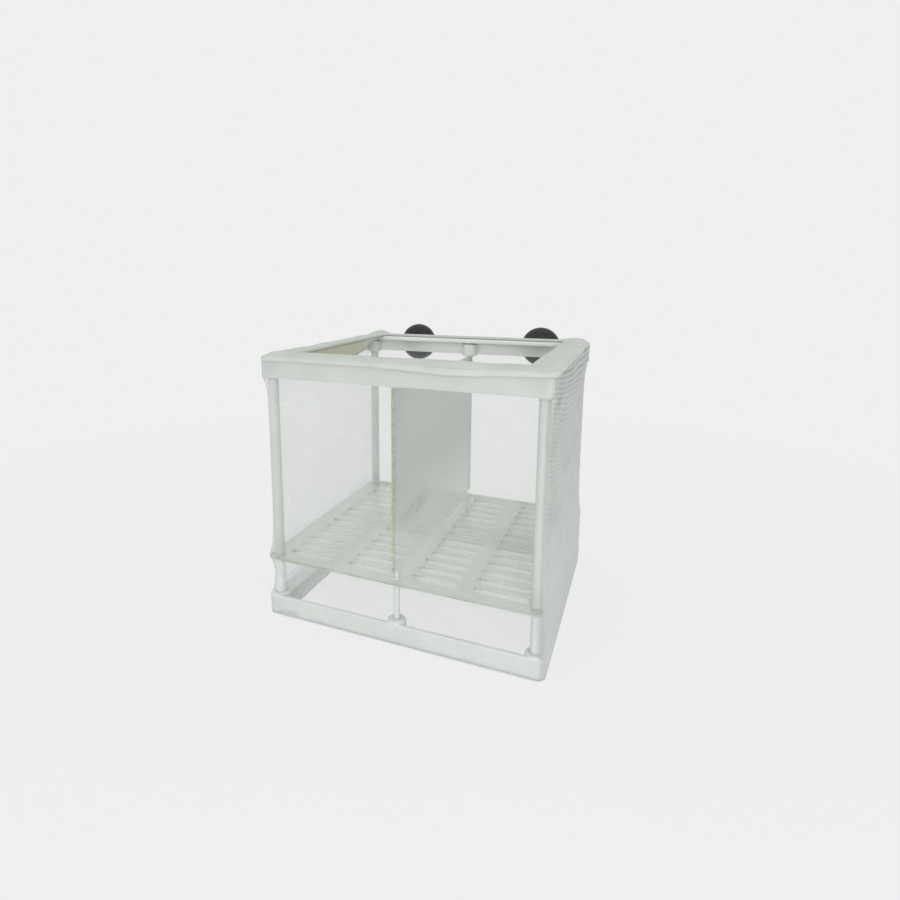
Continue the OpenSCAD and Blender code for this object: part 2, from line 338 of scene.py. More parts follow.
class Ring:
    """Stations round a rectangle with round corners, from the front left corner to the right."""

    OUTWARD = ((0, -1), (1, 0), (0, 1), (-1, 0))

    def __init__(self, across, along, corner):
        self.stations = []
        for side in range(4):
            count = across if side % 2 == 0 else along
            self.stations += [(2 * side, i / count) for i in range(count)]
            self.stations += [(2 * side + 1, i / corner) for i in range(corner)]
        self.travelled = [0.0]
        for i in range(len(self)):
            here, there = (self.spot(k, *rectangle(0), RAIL_CORNER)[0] for k in (i, i + 1))
            self.travelled.append(self.travelled[-1] + (there - here).length)

    def __len__(self):
        return len(self.stations)

    def station(self, i):
        """Side or corner that station i is on, and its share of the way along it."""
        return self.stations[i % len(self)]

    def along(self, i):
        """Distance of station i from the first, on the way round the rails."""
        return self.travelled[i % len(self)]

    def spot(self, i, low, high, radius):
        """Point and outward direction of station i on the rectangle from low to high."""
        segment, share = self.station(i)
        out = Vector(self.OUTWARD[segment // 2])
        tangent = Vector((-out.y, out.x))
        middle = Vector(((low[0] + high[0]) / 2, (low[1] + high[1]) / 2))
        half = Vector(((high[0] - low[0]) / 2, (high[1] - low[1]) / 2))
        reach, run = (half.y, half.x) if out.y else (half.x, half.y)
        run -= radius
        if segment % 2 == 0:
            return middle + out * reach + tangent * run * (2 * share - 1), out
        turn = share * math.pi / 2
        facing = out * math.cos(turn) + tangent * math.sin(turn)
        return middle + out * (reach - radius) + tangent * run + facing * radius, facing


def linked(name, data):
    """A new object in the scene."""
    made = bpy.data.objects.new(name, data)
    bpy.context.scene.collection.objects.link(made)
    return made


def new_piece(bm, name, material):
    """Makes the bmesh, which is in metres, an object with one material."""
    mesh = bpy.data.meshes.new(name)
    bm.to_mesh(mesh)
    bm.free()
    mesh.materials.append(material)
    return linked(name, mesh)


def finish_mesh(bm, name, material, body):
    """Makes the bmesh, which is in millimetres, a smooth piece that rides on a body."""
    bmesh.ops.remove_doubles(bm, verts=bm.verts, dist=1e-4)
    bmesh.ops.recalc_face_normals(bm, faces=bm.faces)
    bmesh.ops.scale(bm, vec=(MM, MM, MM), verts=bm.verts)
    for face in bm.faces:
        face.smooth = True
    piece = new_piece(bm, name, material)
    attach(piece, body)
    return piece


def wrapped_grid(columns, rows, place, measure=None, marks=None):
    """A grid whose points go where place(column, row) says, in millimetres.

    measure(column, row) gives the cloth's own coordinates, and marks(column, row) a point's fold
    mark, which the materials paint as shade, and how much more net is gathered there."""
    bm = bmesh.new()
    bmesh.ops.create_grid(bm, x_segments=columns, y_segments=rows, size=1)
    cloth = bm.loops.layers.uv.new("cloth")
    fold = bm.verts.layers.float.new("fold")
    layers = bm.verts.layers.float.new("layers")
    where = {
        v: (round((v.co.x + 1) / 2 * columns), round((v.co.y + 1) / 2 * rows)) for v in bm.verts
    }
    for face in bm.faces:
        for loop in face.loops:
            loop[cloth].uv = measure(*where[loop.vert]) if measure else where[loop.vert]
    for v, (column, row) in where.items():
        v.co = place(column, row)
        v[fold], v[layers] = marks(column, row) if marks else (0.0, 0.0)
    return bm


def round_cord(row):
    """How far aside and how far up a row of a cord's grid lies, for a radius of 1."""
    turn = 2 * math.pi * (row % CORD_SIDES) / CORD_SIDES
    return math.cos(turn), math.sin(turn)


def stitched(along, radius, swell):
    """Radius of a seam, which swells at each stitch."""
    return radius + swell * math.sin(2 * math.pi * along / STITCH)


# ---------------------------------------------------------------- materials


def moulded_plastic(name, colour):
    """Satin white plastic with faint flow marks, painted light that makes the rails' inner faces
    paler, a painted olive shadow under the inner lip and painted light on the lower rails' upper
    edges."""
    m = new_finish(name)
    place = m.place()
    across, deep, high = m.parts(place)
    grain = m.noise(place, 2.2)
    flow = m.noise(m.stretched(place, (0.5, 0.5, 0.05)), 1.0, 3)
    depth = m.math(
        "MINIMUM", m.math("SUBTRACT", HALF_W, m.math("ABSOLUTE", across)),
        m.math("SUBTRACT", HALF_D, m.math("ABSOLUTE", deep)),
    )
    tint = m.clouded(m.noise(place, 0.06, 3), colour, 0.95)
    tint = m.mix(m.spread(flow, 0.5, 0.75, 0, 0.3), tint, opaque(FLOW_TINT))

    # Painted light: the rails' inner faces are painted up to 1.25 times paler to offset their shade,
    # half as much more than 3.4 mm in on the upper frame
    rails = UPPER_RAIL_FOOT - MIDDLE
    inner = m.spread(m.off(high, MIDDLE), rails - 1.4, rails - 1, 0, 1)
    inner = m.product(inner, m.spread(depth, 1.4, 2.2, 0, 1))
    bosses = m.spread(depth, 2.6, 3.4, 0, 0.5)
    bosses = m.product(bosses, m.spread(high, MIDDLE - 1, MIDDLE + 1, 0, 1))
    tint = m.mix(m.product(inner, m.rest(bosses)), tint, scaled(colour, 1.25))

    # Painted shadow: an olive line just under the upper frame's inner lip, where shade falls
    lip_foot = TOP - 3.1
    lip = m.spread(m.off(high, lip_foot), 0.35, 0.85, 1, 0)
    lip = m.product(lip, m.spread(flow, 0.3, 0.6, 0.7, 1), m.spread(depth, 1.2, 1.5, 0, 1))
    tint = m.mix(lip, tint, opaque(LIP_SHADOW_TINT))
    # Painted light: the lower rails' upper edges are painted near white, against the floor plate's
    # shadow
    lit_rail_top = m.spread(m.off(high, LOWER_RAIL_TOP), 0.2, 0.6, 0.8, 0)
    tint = m.mix(lit_rail_top, tint, opaque(RAIL_TOP_LIGHT_TINT))
    return m.close(
        Base_Color=tint, Roughness=m.spread(grain, 0.3, 0.7, 0.4, 0.52),
        Normal=m.bump(grain, 0.1, 0.2), Specular_IOR_Level=0.35, Subsurface_Weight=0.9,
        Subsurface_Radius=MILKY, Subsurface_Scale=6 * MM,
    )


def slot_marks(m, across, deep, blotch):
    """1 at the left end of each slot in the floor plate, patchy, and 0 near its front edge."""
    ends = 0.0
    for start in SLOT_STARTS:
        end = m.spread(m.off(across, start + SLOT_ROUND), SLOT_ROUND, SLOT_ROUND + 1.3, 1, 0)
        ends = m.math("MAXIMUM", ends, end)
    rows = m.spread(m.stripes(deep, SLOT_PITCH), 0.44, 0.6, 1, 0)
    behind = m.spread(deep, 4.9 - HALF_D, 6.0 - HALF_D, 0, 1)
    return m.product(ends, rows, behind, m.spread(blotch, 0.35, 0.6, 0.4, 0.75))


def slotted_plate(colour, edge):
    """Frosted sheet that lets most of the lamps' light through, clearer round its mid height, where
    its cut walls are painted paler to offset their shade, with an olive mark at the left end of each
    slot and olive patches round its outer edge."""
    m = new_finish("frosted_plate")
    place = m.place()
    across, deep, high = m.parts(place)
    reach = m.math("ADD", m.math("ABSOLUTE", deep), HALF_W - HALF_D)
    reach = m.math("MAXIMUM", m.math("ABSOLUTE", across), reach)
    rim = m.spread(reach, HALF_W - 0.5, HALF_W - 0.2, 0, 1)
    low = m.spread(high, PLATE_LOW + 0.5, PLATE_LOW + 1.1, 0.9, 0.36)
    patches = m.spread(m.noise(place, 0.05), 0.46, 0.58, 0.12, 1)
    ends = slot_marks(m, across, deep, m.noise(place, 0.11, 3))
    mark = m.math("MAXIMUM", ends, m.product(rim, patches, low))
    # Painted light: within 0.86 mm of the mid height, on the cut walls, the sheet is painted 1.12
    # times paler to offset their shade, and is clearer
    upper = m.spread(m.off(high, PLATE_MIDDLE), 0.86, 0.89, 1, 0)

    tint = m.clouded(m.noise(place, 0.03), colour, 1.04)
    tint = m.mix(upper, tint, scaled(colour, 1.12))
    tint = m.mix(rim, tint, scaled(colour, 0.78))
    tint = m.mix(mark, tint, scaled(edge, 0.9))
    solid = m.math("MAXIMUM", m.math("MULTIPLY_ADD", upper, -0.45, 0.8), mark)
    lamp = m.add("LightPath").outputs["Is Shadow Ray"]
    solid = m.product(solid, m.math("MULTIPLY_ADD", lamp, -0.85, 1.0))
    return m.close(
        Base_Color=tint, Roughness=m.spread(m.noise(place, 0.07), 0.35, 0.7, 0.34, 0.44),
        Normal=m.bump(m.noise(place, 1.4, 3), 0.05, 0.2), Alpha=solid, Specular_IOR_Level=0.35,
        Subsurface_Weight=0.6, Subsurface_Radius=MILKY, Subsurface_Scale=4 * MM,
    )


def divider_sheet(colour, edge):
    """Clear grey sheet with olive cut edges in front and behind, faint darker patches low down, and
    painted light that makes it paler towards its foot. It is hazy in its upper part, and clears
    towards its front foot."""
    m = new_finish("divider_sheet")
    place = m.place()
    _, deep, high = m.parts(place)
    rim = m.spread(m.math("ABSOLUTE", deep), HALF_D - 1.3, HALF_D - 0.9, 0, 1)
    specks = m.spread(m.noise(place, 0.5, 3), 0.4, 0.62, 0.6, 0.95)
    drawn = m.stretched(place, (1, 0.3, 1))
    # Darker patches round one spot and along the sheet's lower part, mottled
    dark_patch_at = (0, -12, 66)
    spot = m.add("VectorMath", {0: drawn, 1: dark_patch_at}, operation="DISTANCE").outputs["Value"]
    dark_patch = m.math("MAXIMUM", m.spread(high, 40, 58, 0.25, 0), m.spread(spot, 1, 9, 1, 0))
    dark_patch = m.product(dark_patch, m.spread(m.noise(drawn, 1.1, 4), 0.38, 0.62, 0.1, 0.8))

    tint = m.clouded(m.noise(place, 0.03, 3), colour, 1.05)
    # Painted light: up to 1.4 times paler towards the foot, to offset the shade near the floor plate
    tint = m.mix(m.spread(high, 36, 100, 1, 0), tint, scaled(colour, 1.4))
    tint = m.mix(dark_patch, tint, scaled(colour, 0.5))
    tint = m.mix(m.product(rim, specks), tint, scaled(edge, 0.85))
    haze = m.spread(m.math("MULTIPLY_ADD", deep, 0.25, high), 22, 80, 0.1, 0.76)
    mottle = m.noise(place, 0.12, 4)
    return m.close(
        Base_Color=tint, Roughness=m.spread(mottle, 0.3, 0.7, 0.3, 0.42),
        Normal=m.bump(mottle, 0.03, 0.4), Alpha=m.math("MAXIMUM", m.product(rim, 0.9), haze),
    )


def cup_rubber(colour):
    """Dark rubber with a dusty bloom."""
    m = new_finish("cup_rubber")
    place = m.place()
    bloom = m.noise(place, 0.22, 4)
    tint = m.mix(m.spread(bloom, 0.4, 0.75, 0, 0.5), opaque(colour), opaque(DUST_TINT))
    return m.close(
        Base_Color=tint, Roughness=m.spread(bloom, 0.3, 0.7, 0.36, 0.55),
        Normal=m.bump(m.noise(place, 5.0), 0.15, 0.1), Specular_IOR_Level=0.4,
    )


def woven(m, pitch):
    """Threads of a net, 1 on a thread and 0 in a hole, and the cloth's own coordinates."""
    coord = m.add("UVMap", uv_map="cloth").outputs[0]
    jitter = m.noise(coord, 18.0, output="Color")
    shift = m.add("VectorMath", {0: jitter, 1: (0.004,) * 3}, operation="MULTIPLY").outputs[0]
    coord = m.add("VectorMath", {0: coord, 1: shift}, operation="ADD").outputs[0]
    threads = []
    for along in m.parts(coord)[:2]:
        swing = m.math("COSINE", m.product(along, CLOTH_UNIT * math.pi / pitch))
        threads.append(m.math("POWER", m.math("ABSOLUTE", swing), 5.0))
    return m.math("MAXIMUM", *threads), coord


def sheer_net(name, colour, pitch, coverage):
    """Fine net that closes up where it is gathered and where it is seen at a slant. Its fold mark
    paints shade on it, darkest in the ripples' valleys.
    """
    m = new_finish(name)
    thread, coord = woven(m, pitch)
    fold, layers = m.attribute("fold"), m.attribute("layers")
    uneven = m.noise(coord, 6.0, 3.0)
    cover = m.math("MULTIPLY_ADD", thread, coverage * 0.5, coverage * 0.72)
    cover = m.product(cover, m.spread(uneven, 0.3, 0.7, 0.96, 1.04))
    cover = m.math("MULTIPLY", cover, m.math("ADD", layers, 1.0), clamp=True)
    slant = m.add("LayerWeight", {"Blend": 0.5}).outputs["Facing"]
    upright = m.math("MAXIMUM", m.rest(slant), 0.06)
    gaps = m.math("POWER", m.rest(cover), m.math("DIVIDE", 1.0, upright))
    tint = m.mix(m.spread(uneven, 0.35, 0.65, 0, 1), opaque(colour), scaled(colour, 0.97))
    # Painted shade from the fold mark, down to 0.45 of the net's colour
    tint = m.mix(m.math("MULTIPLY", fold, 0.5, clamp=True), tint, scaled(colour, 0.45))
    return m.close(
        Base_Color=tint, Roughness=0.8, Alpha=m.rest(gaps, clamp=True),
        Normal=m.bump(thread, 0.25, 0.1), Sheen_Weight=0.1, Sheen_Roughness=0.4,
    )


def hem_cloth(colour, flap, pitch):
    """Net folded several times over. The flap's inner face is painted with the olive-brown of its
    shade, in level rows like the moiré of its two layers, which fade towards the back, under a dark
    line along its fold."""
    m = new_finish("hem_cloth")
    thread, coord = woven(m, pitch)
    fold = m.attribute("fold")
    cloud = m.noise(coord, 9.0, 4.0)
    _, deep, high = m.parts(m.place())
    row_pitch = 1.3
    rows = m.stripes(high, row_pitch)
    # Painted shade: the flap's inner face takes the flap tint, the olive-brown of its shade
    inner = m.mix(rows, scaled(flap, 0.72), scaled(flap, 1.3))
    inner = m.mix(thread, inner, scaled(flap, 1.25))
    inner = m.mix(m.spread(deep, 0, 60, 0, 0.85), inner, opaque(colour))

    tint = m.clouded(cloud, colour, 0.93)
    tint = m.mix(m.spread(fold, 0.2, 0.8, 0, 1), tint, inner)
    line_mark = 0.62
    line = m.spread(m.off(fold, line_mark), 0.05, 0.2, 0.8, 0)
    tint = m.mix(line, tint, scaled(flap, 0.6))
    tint = m.mix(m.product(m.rest(thread), 0.1), tint, scaled(colour, 0.75))
    height = m.math("MULTIPLY_ADD", cloud, 0.6, m.product(thread, 0.25))
    return m.close(
        Base_Color=tint, Roughness=0.85, Normal=m.bump(height, 0.35, 0.4), Sheen_Weight=0.15,
        Sheen_Roughness=0.4,
    )


def sewing_thread(colour):
    """Twisted thread for seams and the elastic's cover."""
    m = new_finish("sewing_thread")
    twist = m.math("SINE", m.product(m.noise(m.place(), 1.1), 18.0))
    tint = m.mix(m.spread(twist, -1, 1, 0, 1), scaled(colour, 0.9), scaled(colour, 1.04))
    return m.close(
        Base_Color=tint, Roughness=0.75, Normal=m.bump(twist, 0.3, 0.1), Sheen_Weight=0.2
    )


def backdrop_paper(colour):
    """Pale floor that shows as its own colour and keeps a soft shadow by the object."""
    m = new_finish("backdrop_paper")
    place = m.place(1.0)
    away = m.add("VectorMath", {0: place}, operation="LENGTH").outputs["Value"]
    grain = m.noise(place, 900.0)
    tint = m.mix(m.spread(grain, 0.3, 0.7, 0, 1), opaque(colour), scaled(colour, 0.985))
    paper = m.add("BsdfDiffuse", {"Color": tint})
    glow = m.add("Emission", {"Color": opaque(colour), "Strength": 1.0})
    path = m.add("LightPath").outputs
    lit = m.product(path["Is Camera Ray"], m.spread(away, 0.1, 0.6, 0.88, 1.0))
    for ray in ("Is Glossy Ray", "Is Transmission Ray"):
        lit = m.math("MAXIMUM", lit, m.product(path[ray], 0.8))
    return m.send(m.add("MixShader", {0: lit, 1: paper.outputs[0], 2: glow.outputs[0]}))


def studio_light(colour, ambient):
    """Even light from all round, with a background that shows as its own colour."""
    m = Finish(bpy.data.worlds.new("studio_world"))
    path = m.add("LightPath").outputs
    seen = m.math("MAXIMUM", path["Is Camera Ray"], path["Is Glossy Ray"])
    seen = m.math("MAXIMUM", seen, path["Is Transmission Ray"])
    glow = m.add("Background", {"Color": (1, 1, 1, 1), "Strength": ambient})
    sky = m.add("Background", {"Color": opaque(colour), "Strength": 1.0})
    mixed = m.add("MixShader", {0: seen, 1: glow.outputs[0], 2: sky.outputs[0]})
    return m.send(mixed, "OutputWorld")


# ---------------------------------------------------------------- net


def bunching(segment, share, z):
    """1 on the right wall, where the net is bunched, and 0 on the three smooth walls."""
    start = 0.1 if z < UPPER_RAIL_FOOT else 0.4
    front, back = ease(start, start + 0.5, share), 1 - ease(0.4, 1, share)
    return {FRONT_RIGHT: front, RIGHT: 1.0, BACK_RIGHT: back}.get(segment, 0.0)


def wall_inset(z, share, bunched=0.0):
    """How far the net lies inside the frames' outer faces at height z.

    It is tight on the rails and on the plate's edge, and is drawn in to the posts between."""
    drawn = NET_DRAWN * (1 - 0.25 * bunched) - 0.6 * math.sin(math.pi * share)
    if z >= PLATE_MIDDLE:
        by_rail = math.exp(-max(UPPER_RAIL_FOOT - z, 0) / 5)
        by_plate = 0.92 * math.exp(-max(z - PLATE_MIDDLE - 1, 0) / (6 + 3 * bunched))
        held = min(by_rail + by_plate, 1.0)
    else:
        by_rail = math.exp(-max(z - LOWER_RAIL_TOP, 0) / 4)
        by_plate = 0.92 * math.exp(-max(PLATE_MIDDLE - 1 - z, 0) / 3.5)
        held = max(min(by_rail + by_plate, 1.0), 0.85 * bunched)
    return blend(drawn, -NET_OUT, held)


def corner_radius(z):
    """The net's corner radius, which is smaller where it is drawn in to the posts."""
    drawn = (wall_inset(z, 0) + NET_OUT) / (NET_DRAWN + NET_OUT)
    return NET_CORNER - 1.2 * drawn


def turned_in(past):
    """How far a round turn has brought the net inwards, this far past its start."""
    return TURN_RADIUS - math.sqrt(max(TURN_RADIUS**2 - past**2, 0))


def front_pinch(along, z):
    """1 at a tuck low down on the front wall, near its left end, and 0 away from it."""
    return bell(along, 9, 3.4) * bell(z, 1.6, 2.2)


def wall_ruffle(segment, share, z, along, cloth):
    """How far one point of the wall stands out, how much painted shade it gets, deepest in a
    ripple's valley, and how much more net is gathered there: the right wall is bunched into level
    ripples."""
    out = 0.05 * wander(along / 26, z / 34, 3.1)
    bunched = bunching(segment, share, z)
    if not bunched:
        level = z + wander(along / 30, 0, 2)
        return out + 0.02 * math.sin(2 * math.pi * level / 3.2), 0.0, 0.0
    back = {FRONT_RIGHT: 0.0, RIGHT: share, BACK_RIGHT: 1.0}[segment]
    drop = TOP - z
    # The ripples are strongest under the upper rail, and fade downwards and towards the back
    fade = (0.2 + 0.8 * ease(25, 95, z)) * (1 - 0.4 * back)
    fade *= 0.75 + 0.6 * wander(back * 5, z / 9, 7.7)
    fade += 0.9 * math.exp(-drop / 11) * (1 + 0.8 * wander(back * 9, z / 5, 4.4))
    # They sag from the front corner towards the back one
    bend = 2.2 + 5 * math.exp(-drop / 14)
    sag = 19 * (1 - math.exp(-bend * back)) * ease(-16, 46, drop)
    sag *= 0.35 + 0.65 * ease(10, 80, z)
    level = z + sag + 0.9 * wander(back * 3.5, z / 12, 1.3)
    wave = math.sin(2 * math.pi * level / (cloth.ripple_pitch / MM))
    # A short crease slants down beside the front corner
    crease = bell(back, 0.1, 0.03) * bell(drop, 15 + 40 * (back - 0.1), 4)
    # Painted shade, deepest in each ripple's valley
    fold = max(fade, 0.0) * (0.5 - 0.5 * wave)
    # The net on the corner itself is rippled only on its way to the right wall
    rippled = 1.0
    if segment == FRONT_RIGHT:
        rippled = ease(0.5, 1, share)
        # Painted shade on the corner strip
        fold += 0.35 * math.sin(math.pi * share)
    # Painted shade along the crease
    fold = fold * (0.5 + 0.5 * rippled) + 0.8 * crease
    # Painted shade over the whole bunched wall, more just under the rail and high up
    fold += 0.2 + 0.2 * math.exp(-drop / 8) + 0.22 * ease(60, 140, z)
    out += bunched * (cloth.ripple_depth / MM * fade * wave * rippled - 0.3 * crease)
    out += 0.5 * bunched * math.exp(-drop / 14) * ease(0.4, 1, back)
    return out, bunched * fold, bunched * (2.6 + fold)


def make_walls(cloth, material):
    """The bag's wall: one band of net round the four sides."""
    loop = Ring(26, 36, 6)
    rows = 400
    heights = [WALL_FOOT, 0.5, 0.9, 1.5, 2.2]
    heights += [blend(2.8, TOP + 0.3, i / rows) for i in range(rows + 1)]

    def place(column, row):
        z, along = heights[row], loop.along(column)
        segment, share = loop.station(column)
        on_side = share if segment % 2 == 0 else 0.0
        inset = wall_inset(z, on_side, bunching(segment, share, z))
        inset += turned_in(max(WALL_FOOT + TURN_RADIUS - z, 0)) + turned_in(max(z - WALL_TURN, 0))
        spot, out = loop.spot(column, *rectangle(inset), corner_radius(z))
        spot = spot + out * wall_ruffle(segment, share, z, along, cloth)[0] * ease(1, 6, z)
        if segment == FRONT:
            spot.y -= 1.6 * front_pinch(along, z)
        return (spot.x, spot.y, z)

    def measure(column, row):
        return (loop.travelled[column] / CLOTH_UNIT, heights[row] / CLOTH_UNIT)

    def marks(column, row):
        z, along = heights[row], loop.along(column)
        segment, share = loop.station(column)
        if segment == FRONT:
            pinch = front_pinch(along, z)
            # Painted shade and more gathered net at the tuck
            return 0.35 * pinch, 4 * pinch
        return wall_ruffle(segment, share, z, along, cloth)[1:]

    bm = wrapped_grid(len(loop), len(heights) - 1, place, measure, marks)
    piece = finish_mesh(bm, "net_wall", material, "cage")
    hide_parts("net_front", "net_back", "net_left", "net_right")


def make_base(material):
    """The bag's bottom panel, slack inside the lower frame."""
    columns, rows = 54, 48
    half_x, half_y, radius = HALF_W - 1.2, HALF_D - 1.2, 3.0

    def place(column, row):
        x, y = blend(-half_x, half_x, column / columns), blend(-half_y, half_y, row / rows)
        over_x, over_y = abs(x) - (half_x - radius), abs(y) - (half_y - radius)
        if over_x > 0 and over_y > 0:
            far = math.hypot(over_x, over_y)
            if far > radius:
                x = math.copysign(half_x - radius + over_x * radius / far, x)
                y = math.copysign(half_y - radius + over_y * radius / far, y)
        slack = ease(0, 12, half_x - abs(x)) * ease(0, 12, half_y - abs(y))
        lift = max(wander(x / 23, y / 31, 9.2) + 0.25 * wander(x / 6, y / 9, 2.2), -0.15)
        return (x, y, 0.4 + slack * 1.2 * lift)

    def measure(column, row):
        across, along = 2 * half_x * column / columns, 2 * half_y * row / rows
        return (across / CLOTH_UNIT, along / CLOTH_UNIT)

    bm = wrapped_grid(columns, rows, place, measure)
    piece = finish_mesh(bm, "net_base", material, "cage")
    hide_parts("net_bottom")


# ---------------------------------------------------------------- hem and seams


class HemShape:
    """Cross sections of the folded hem at each station round the top frame."""

    # Width of the fold along the inner edge, which stays the same on the narrower back rail
    FOLD = 3.0
    # Place of the elastic's middle: inwards from the hem's inner edge, and over the rail
    CORD_IN, CORD_UP = 1.2, 0.85
    # Turn of the outer edge over the rail, inwards and up, where the hem bulges over it
    BULGED_TURN = ((-1.15, -1.5), (-0.3, -0.4), (0.8, 0.35), (2.2, 0.85))
    FLAP_STEPS = 6

    def __init__(self, cloth):
        self.loop = Ring(150, 134, 10)
        self.width = cloth.hem_width / MM
        self.back_width = cloth.back_hem_width / MM
        self.depth = cloth.flap_depth / MM
        self.puff = cloth.puff / MM

    def before_back(self, i, start):
        """1 in front, with a fall from this share of each side to 0 on the back rail."""
        segment, share = self.loop.station(i)
        if segment in (BACK_RIGHT, BACK, BACK_LEFT):
            return 0.0
        towards_back = {RIGHT: share, LEFT: 1 - share}.get(segment, 0.0)
        return 1 - ease(start, 0.97, towards_back)

    def looseness(self, i):
        """How loose the hem lies: 1 on the front and side rails, and 0 on the back rail."""
        return self.before_back(i, 0.84)

    def flap_drop(self, i):
        """How much of the flap hangs: all in front, and less towards the back corners."""
        return self.before_back(i, 0.6)

    def near(self, corner, i, reach):
        """1 at the middle of a corner, and falling off along the hem to both sides."""
        middle = self.loop.along(self.loop.stations.index((corner, 0.5)))
        off = abs(self.loop.along(i) - middle)
        return bell(min(off, self.loop.travelled[-1] - off), 0, reach)

    def edge(self, i):
        """Distance of the inner edge from the rail's outer face."""
        turn = 2 * math.pi * self.loop.along(i) / self.loop.travelled[-1]
        wave = 0.0
        for waves, size, seed in ((19, 0.7, 0.0), (37, 0.35, 3.0)):
            radius = waves / 6.3
            wave += size * wander(radius * math.cos(turn), radius * math.sin(turn), seed)
        segment, share = self.loop.station(i)
        if segment == FRONT:
            wave -= bell(share, 0.42, 0.13) + 2.6 * bell(share, 0.86, 0.06)
        return max(self.width + wave * (1 + 0.4 * self.looseness(i)), 12.3)

    def overhang(self, i):
        """1 where the front of the hem bulges over the rail in a loose fold."""
        segment, share = self.loop.station(i)
        return bell(share, 0.7, 0.16) if segment == FRONT else 0.0

    def skirt(self, i):
        """How far the hem's sewn edge hangs down outside the rail."""
        s = self.loop.along(i)
        drop = 1.7 + 0.3 * wander(s / 21, 0.0, 8.1) + 1.2 * self.near(BACK_RIGHT, i, 9)
        return drop + (1.9 + 0.6 * wander(s / 5, 0.0, 2.2)) * self.overhang(i)

    def roll(self, i):
        """How far the outer edge rolls out over the bunched right wall."""
        s = self.loop.along(i)
        segment, share = self.loop.station(i)
        held = {FRONT_RIGHT: share, RIGHT: 1.0, BACK_RIGHT: 1 - share}.get(segment, 0.0)
        swell = 0.7 + 1.7 * wander(s / 6.5, 0.0, 5.3) + 0.4 * wander(s / 3, 0.0, 1.7)
        return held * max(blend(swell, 0.15, self.near(BACK_RIGHT, i, 9)), 0)

    def rise(self, i, share):
        """Height of the bunched cloth over the rail, from its outer to its inner edge."""
        s = self.loop.along(i)
        loose = self.looseness(i)
        swell = 0.5 + 0.7 * wander(s / 19, share * 1.3, 6.6) + 0.35 * wander(s / 7, share * 3, 1.9)
        swell += 0.9 * self.near(BACK_LEFT, i, 8) + 0.7 * self.near(BACK_RIGHT, i, 12)
        swell += 0.3 * self.near(FRONT_LEFT, i, 9)
        swell -= 0.4 * (self.near(BACK_LEFT, i, 70) - self.near(BACK_LEFT, i, 22))
        segment, along = self.loop.station(i)
        if segment == FRONT:
            swell += 0.9 * bell(along, 0.75, 0.08) * share - 0.6 * bell(along, 0.9, 0.05)
        puffed = max(loose, self.near(BACK_LEFT, i, 10), self.near(BACK_RIGHT, i, 14))
        gather = 0.3 * abs(wander(s / 3.1, share * 0.8, 12.3)) * (0.4 + 0.6 * loose)
        height = self.puff * max(swell, 0.0) * (0.35 + 0.65 * puffed) + gather
        share **= 1 - 0.45 * max(self.near(BACK_RIGHT, i, 16), self.near(FRONT_RIGHT, i, 10))
        return math.sin(math.pi * share) ** 0.7 * height

    def section(self, i):
        """Points (distance inwards, height, flap mark) of the section, closed."""
        outside, top, fold = self.outer_turn(i), self.bunched_top(i), self.cord_fold(i)
        return outside + top + fold + self.flap(i) + self.underside(i)

    def outer_turn(self, i):
        """The sewn edge outside the rail, and the turn over the rail's outer edge."""
        over, roll = self.overhang(i), self.roll(i)
        skirt = TOP - self.skirt(i)
        points = [
            (-0.34, skirt, 0),
            (-0.4 - 0.84 * over, skirt + 0.3 + 0.1 * over, 0),
            (-0.45 - 0.89 * over, skirt + 0.6 + 0.4 * over, 0),
        ]
        for k, bulged in enumerate(self.BULGED_TURN):
            turn = math.radians(180 - 30 * k)
            tight = Vector((1.0 + 1.6 * math.cos(turn), -0.8 + 1.6 * math.sin(turn)))
            spot = tight.lerp(Vector(bulged), over)
            spot += Vector((-0.9, 0.45)) * roll * math.sin(math.pi * (k + 0.5) / 4)
            points.append((spot.x, TOP + min(spot.y, 0.85 + 0.3 * roll), 0))
        return points

    def bunched_top(self, i):
        """The cloth over the rail, between the outer turn and the fold."""
        start, end = 1.0 + 1.2 * self.overhang(i), self.edge(i) - 2.4
        shares = [k / 9 for k in range(1, 9)]
        return [(blend(start, end, s), TOP + 0.75 + self.rise(i, s), 0) for s in shares]

    def cord_fold(self, i):
        """The fold round the elastic, where the flap's mark begins."""
        points = []
        for k in range(5):
            turn = math.radians(100 - 35 * k)
            inwards = self.edge(i) - self.CORD_IN + 1.15 * math.cos(turn)
            points.append((inwards, TOP + self.CORD_UP + 1.1 * math.sin(turn), k / 8))
        return points

    def flap_point(self, i, down, hung, tucked):
        """A point this share of the way down the flap, between where it hangs and is tucked."""
        hang = self.flap_drop(i)
        sway = 0.35 * wander(self.loop.along(i) / 6, 2.4 * down, 5.0) * down
        inwards, up = blend(tucked[0], hung[0] + sway, hang), blend(tucked[1], hung[1], hang)
        return inwards, up, ease(0.0, 0.2, hang)

    def flap(self, i):
        """The flap's inner face on the way down, and its outer face on the way up."""
        edge, low = self.edge(i), TOP + 0.8 - self.depth
        points = []
        for k in range(1, self.FLAP_STEPS + 1):
            share = k / self.FLAP_STEPS
            hung = (edge - 0.55, blend(TOP - 0.1, low, share))
            tucked = (edge - 0.5 - 0.5 * share, TOP + 0.55 - 0.25 * share)
            points.append(self.flap_point(i, share, hung, tucked))
        for k in range(self.FLAP_STEPS + 1):
            share = k / self.FLAP_STEPS
            hung = (edge - 1.15, blend(low - 0.15, TOP + 0.1, share))
            tucked = (edge - 1.1 - 0.9 * share, TOP + 0.28 - 0.08 * share)
            points.append(self.flap_point(i, 1 - share, hung, tucked))
        return points

